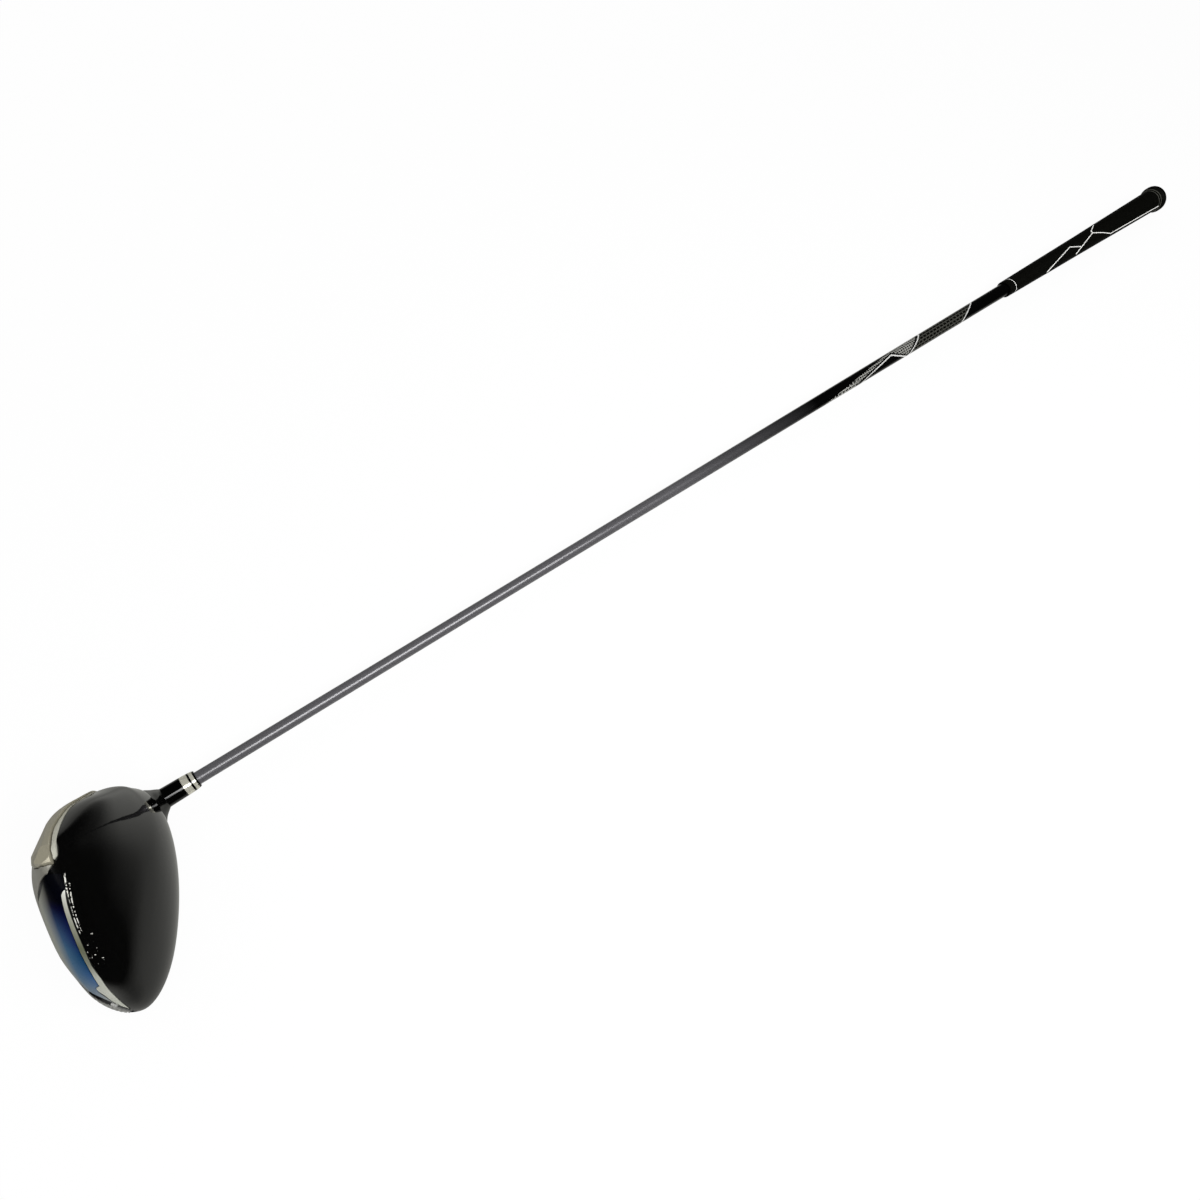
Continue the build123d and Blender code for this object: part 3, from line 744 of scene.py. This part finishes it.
def matt_paper(colour, evenness):
    """Matt white paper. To the camera it is nearly even white, with a trace of the club's shadow:
    evenness is the share of plain white in what the camera sees."""
    material, tree, shader = new_material("Matt white paper")
    shader.inputs["Base Color"].default_value = colour
    shader.inputs["Roughness"].default_value = 0.9
    shader.inputs["Specular IOR Level"].default_value = 0.0
    white = add(tree, "ShaderNodeEmission", {"Color": linear("#FFFFFF"), "Strength": 1.0})
    ray = add(tree, "ShaderNodeLightPath")
    share = add(
        tree,
        "ShaderNodeMath",
        {"operation": "MULTIPLY", 1: evenness},
        {0: ray.outputs["Is Camera Ray"]},
    )
    paper = add(
        tree, "ShaderNodeMixShader", links={0: share, 1: shader.outputs["BSDF"], 2: white}
    )
    output = tree.nodes["Material Output"]
    tree.links.new(paper.outputs["Shader"], output.inputs["Surface"])
    return material


def strength_towards(tree, look, direction, shares, strengths):
    """A strength that rises smoothly from the first to the second of strengths, as the share of a
    look that goes in a direction rises from the first to the second of shares."""
    share = add(
        tree, "ShaderNodeVectorMath", {"operation": "DOT_PRODUCT", 1: direction}, {0: look}
    )
    return add(
        tree,
        "ShaderNodeMapRange",
        {
            "interpolation_type": "SMOOTHSTEP",
            "From Min": shares[0],
            "From Max": shares[1],
            "To Min": strengths[0],
            "To Max": strengths[1],
        },
        {"Value": share.outputs["Value"]},
    )


def studio_room(strength):
    """The room: even white to the camera and as light. In reflections it is a pale sweep below and
    behind the club that darkens towards the room in front of it, and is whiter past the club's
    shadow."""
    world = bpy.data.worlds.new("Studio")
    world.use_nodes = True
    tree = world.node_tree
    tree.nodes.clear()
    ray = add(tree, "ShaderNodeLightPath")
    here = add(tree, "ShaderNodeTexCoord")
    # The sweep lies below and behind the club. Past the club's shadow is the side of the grip, and
    # only the floor is whiter there.
    look = here.outputs["Generated"]
    sweep = strength_towards(tree, look, (0.12, 0.344, -0.939), (0.2, 0.57), (0.012, 0.39))
    past_shadow = strength_towards(tree, look, (0.8, 0.6, 0.0), (0.6, 0.92), (0.0, 0.5))
    on_floor = strength_towards(tree, look, (0.0, 0.0, -1.0), (0.15, 0.4), (0.0, 1.0))
    sweep = add(
        tree,
        "ShaderNodeMath",
        {"operation": "MULTIPLY_ADD"},
        {0: past_shadow, 1: on_floor, 2: sweep},
    )
    even = add(
        tree, "ShaderNodeBackground", {"Color": linear("#FFFFFF"), "Strength": strength}
    )
    mirrored = add(
        tree, "ShaderNodeBackground", {"Color": linear("#FFFFF8")}, {"Strength": sweep}
    )
    seen = add(tree, "ShaderNodeBackground", {"Color": linear("#FFFFFF"), "Strength": 1.0})
    lit = add(
        tree,
        "ShaderNodeMixShader",
        links={0: ray.outputs["Is Glossy Ray"], 1: even, 2: mirrored},
    )
    straight = add(
        tree,
        "ShaderNodeMath",
        {"operation": "MAXIMUM"},
        {0: ray.outputs["Is Camera Ray"], 1: ray.outputs["Is Transmission Ray"]},
    )
    room = add(tree, "ShaderNodeMixShader", links={0: straight, 1: lit, 2: seen})
    add(tree, "ShaderNodeOutputWorld", links={"Surface": room})
    return world


def area_lamp(scene, name, place, aim, size, power, in_reflections):
    """A flat rectangular lamp at a place, turned to its aim."""
    light = bpy.data.lights.new(name, "AREA")
    light.shape = "RECTANGLE"
    light.size, light.size_y = size
    light.energy = power
    lamp = bpy.data.objects.new(name, light)
    lamp.location = place
    lamp.rotation_euler = (Vector(aim) - Vector(place)).to_track_quat("-Z", "Y").to_euler()
    lamp.visible_glossy = in_reflections
    scene.collection.objects.link(lamp)


def stand_camera(scene, settings):
    """The camera, as it is set."""
    data = bpy.data.cameras.new("view")
    data.lens = settings.lens
    data.sensor_width = 36.0
    data.clip_start = 0.01
    data.clip_end = 50.0
    camera = bpy.data.objects.new("view", data)
    camera.location = settings.camera_place
    camera.rotation_euler = Euler(settings.camera_turn)
    scene.collection.objects.link(camera)
    scene.camera = camera


# ---------------------------------------------------------------- settings


def colour_property(name, description, hex_colour):
    """A colour that a user can change."""
    return FloatVectorProperty(
        name=name,
        description=description,
        default=linear(hex_colour),
        subtype="COLOR",
        size=4,
        min=0,
        max=1,
    )


def length_property(name, description, millimetres):
    """A small length that a user can change."""
    return FloatProperty(
        name=name,
        description=description,
        default=millimetres * MM,
        unit="LENGTH",
        precision=5,
        min=0.1 * MM,
        max=5 * MM,
    )


class DriverFinishSettings(bpy.types.PropertyGroup):
    """Colours and sizes of the finishes."""

    lacquer_black: colour_property("Lacquer", "Colour of the crown and the body", "#040404")
    crown_polish: FloatProperty(
        name="Crown roughness",
        description="Roughness of the clear coat on the crown: 0 is a mirror",
        default=0.05,
        subtype="FACTOR",
        min=0,
        max=1,
    )
    cover_colour: colour_property("Cover", "Colour of the cover at the heel", "#A29D8A")
    strip_colour: colour_property("Heel strip", "Colour of the strip beside it", "#CCCBBD")
    sole_colour: colour_property("Sole", "Colour of the sole's plating", "#959389")
    face_colour: colour_property("Face", "Colour of the brushed face", "#747576")
    weight_colour: colour_property("Weight", "Colour of the weight in the sole", "#7D7D7F")
    # The enamel's middle and toe colours are stops in its painted reflection ramp.
    enamel_navy: colour_property("Enamel, middle", "Colour of the enamel's middle", "#000A58")
    enamel_steel: colour_property("Enamel, toe", "Colour of the enamel near the toe", "#567498")
    ring_colour: colour_property("Ferrule rings", "Colour of the pale rings", "#DCDACB")
    shaft_grey: colour_property("Shaft", "Colour of the shaft near the head", "#676669")
    silver_paint: colour_property("Silver lines", "Colour of the shaft's thin lines", "#FFFFFC")
    silver_line: length_property("Silver ring width", "Width of the first silver ring", 0.96)
    grip_black: colour_property("Grip", "Colour of the rubber", "#0A0A07")
    grip_paint: colour_property("Grip lines", "Colour of the painted grooves", "#FFFFFA")
    grip_line: length_property("Grip line width", "Width of the painted grooves", 0.75)


class DriverStageSettings(bpy.types.PropertyGroup):
    """Floor, light and view."""

    world_strength: FloatProperty(
        name="Room light",
        description="Strength of the even light of the room",
        default=0.37,
        min=0,
        max=2,
    )
    strip_power: FloatProperty(
        name="Strip light",
        description="Power of the long lamp that draws the highlight on the shaft",
        default=13.0,
        unit="POWER",
        min=0,
    )
    fill_power: FloatProperty(
        name="Fill light",
        description="Power of the broad lamp behind the club",
        default=8.0,
        unit="POWER",
        min=0,
    )
    floor_colour: colour_property("Floor", "Colour of the studio floor", "#FFFFFF")
    floor_evenness: FloatProperty(
        name="Floor evenness",
        description="Share of plain white in the floor as the camera sees it: 1 hides the shadow",
        default=0.95,
        subtype="FACTOR",
        min=0,
        max=1,
    )
    floor_size: FloatProperty(
        name="Floor size", description="Side of the square floor", default=12.0, unit="LENGTH"
    )
    lens: FloatProperty(
        name="Lens", description="Focal length of the camera", default=27.0, unit="CAMERA"
    )
    camera_place: FloatVectorProperty(
        name="Camera place",
        description="Where the camera stands",
        default=FERRULE_POINT + Vector((45.5, -303.5, 553.7)) * MM,
        subtype="TRANSLATION",
        unit="LENGTH",
    )
    camera_turn: FloatVectorProperty(
        name="Camera turn",
        description="How the camera is turned",
        default=[math.radians(turn) for turn in (32.4042, -3.1622, -38.3979)],
        subtype="EULER",
        unit="ROTATION",
    )


# ---------------------------------------------------------------- operators


class FinishHead(bpy.types.Operator):
    """Finishes the head's crown, body, face, skirt and sole"""

    bl_idname = "driver.finish_head"
    bl_label = "Finish the head"

    def execute(self, context):
        finish = context.scene.driver_finish
        black = finish.lacquer_black
        crown = black_lacquer(
            "Gloss black lacquer, painted edge highlight", black, finish.crown_polish, painted_edge_highlight=True
        )
        dress(crown, "crown")
        body = black_lacquer("Gloss black lacquer", black, coat_roughness=0.12)
        dress(body, "head_body")
        # Strongly streaked grey with a broad, soft highlight.
        face = brushed_metal("Brushed titanium", finish.face_colour, streaks=0.43, rough=0.36)
        dress(face, "face_insert")
        # A warm, even sheen, more colour than mirror.
        cover = brushed_metal(
            "Champagne anodised aluminium",
            finish.cover_colour,
            streaks=0.14,
            rough=0.4,
            metallic=0.3,
        )
        dress(cover, "heel_cover")
        # A pale, silky band, finely streaked along its length.
        strip = brushed_metal(
            "Pale satin nickel",
            finish.strip_colour,
            streaks=0.2,
            rough=0.36,
            metallic=0.3,
            stretch=(6.0, 1.0, 1.0),
        )
        dress(strip, "heel_strip")
        dress(satin_nickel_painted_reflection(black), "skirt_trim")
        dress(blue_enamel_painted_reflection(finish.enamel_navy, finish.enamel_steel), "skirt_panel")
        # A soft grey without a mirror image.
        sole = brushed_metal(
            "Satin grey plating", finish.sole_colour, streaks=0.22, rough=0.38, metallic=0.3
        )
        dress(sole, "sole_plate")
        dress(grooved_strip(), "toe_strip")
        # Mid grey, with bright streaks from turning.
        weight = brushed_metal("Machined tungsten", finish.weight_colour, streaks=0.3, rough=0.3)
        dress(weight, "sole_weight")
        return {"FINISHED"}


class FinishShaft(bpy.types.Operator):
    """Polishes the ferrule and paints the shaft"""

    bl_idname = "driver.finish_shaft"
    bl_label = "Finish the shaft"

    def execute(self, context):
        finish = context.scene.driver_finish
        dress(acetate(), "ferrule_body", "ferrule_ring_dark", "ferrule_ring_top", "tip_plug")
        # Two bright, nearly smooth rings.
        bright = brushed_metal(
            "Polished aluminium", finish.ring_colour, streaks=0.1, rough=0.16, metallic=0.45
        )
        dress(bright, "ferrule_ring_wide", "ferrule_ring_narrow")
        paint = graphite(finish.shaft_grey, finish.silver_paint, finish.silver_line)
        dress(paint, "shaft")
        return {"FINISHED"}


class FinishGrip(bpy.types.Operator):
    """Gives the grip, its cap and its tape their rubber and paint"""

    bl_idname = "driver.finish_grip"
    bl_label = "Finish the grip"

    def execute(self, context):
        finish = context.scene.driver_finish
        rubber = grip_rubber(finish.grip_black, finish.grip_paint, finish.grip_line)
        dress(rubber, "grip_sleeve", "grip_cap", "grip_tape")
        return {"FINISHED"}


class SetStage(bpy.types.Operator):
    """Lays the floor, lights it and stands the camera"""

    bl_idname = "driver.set_stage"
    bl_label = "Set the stage"

    def execute(self, context):
        scene = context.scene
        settings = scene.driver_stage
        bpy.ops.object.select_all(action="DESELECT")
        bpy.ops.mesh.primitive_plane_add(size=settings.floor_size, location=(0, 0, 0))
        floor = context.object
        floor.name = "studio_floor"
        floor.data.materials.append(matt_paper(settings.floor_colour, settings.floor_evenness))
        floor.visible_glossy = False

        scene.world = studio_room(settings.world_strength)
        area_lamp(
            scene,
            "strip_light",
            place=(-0.15, -0.72, 1.0),
            aim=(-0.25, 0.05, 0.0),
            size=(0.9, 0.5),
            power=settings.strip_power,
            in_reflections=True,
        )
        area_lamp(
            scene,
            "fill_light",
            place=(-0.1, 1.35, 0.95),
            aim=(-0.2, 0.0, 0.0),
            size=(2.4, 1.7),
            power=settings.fill_power,
            in_reflections=False,
        )
        stand_camera(scene, settings)
        scene.view_settings.view_transform = "Standard"
        return {"FINISHED"}


class DriverPanel(bpy.types.Panel):
    """Lists the driver's settings and steps"""

    bl_idname = "VIEW3D_PT_golf_driver"
    bl_label = "Golf driver"
    bl_space_type = "VIEW_3D"
    bl_region_type = "UI"
    bl_category = "Golf Driver"

    def draw(self, context):
        for settings in (context.scene.driver_finish, context.scene.driver_stage):
            for name in settings.bl_rna.properties.keys():
                if name not in ("rna_type", "name"):
                    self.layout.prop(settings, name)
        for step_class in STEPS:
            self.layout.operator(step_class.bl_idname)


STEPS = (FinishHead, FinishShaft, FinishGrip, SetStage)
CLASSES = (DriverFinishSettings, DriverStageSettings, *STEPS, DriverPanel)


def register():
    for cls in CLASSES:
        bpy.utils.register_class(cls)
    bpy.types.Scene.driver_finish = PointerProperty(type=DriverFinishSettings)
    bpy.types.Scene.driver_stage = PointerProperty(type=DriverStageSettings)


def unregister():
    del bpy.types.Scene.driver_stage
    del bpy.types.Scene.driver_finish
    for cls in reversed(CLASSES):
        bpy.utils.unregister_class(cls)


def main():
    """Runs every step in order."""
    register()
    bpy.ops.driver.finish_head()
    bpy.ops.driver.finish_shaft()
    bpy.ops.driver.finish_grip()
    bpy.ops.driver.set_stage()


if __name__ == "__main__":
    main()
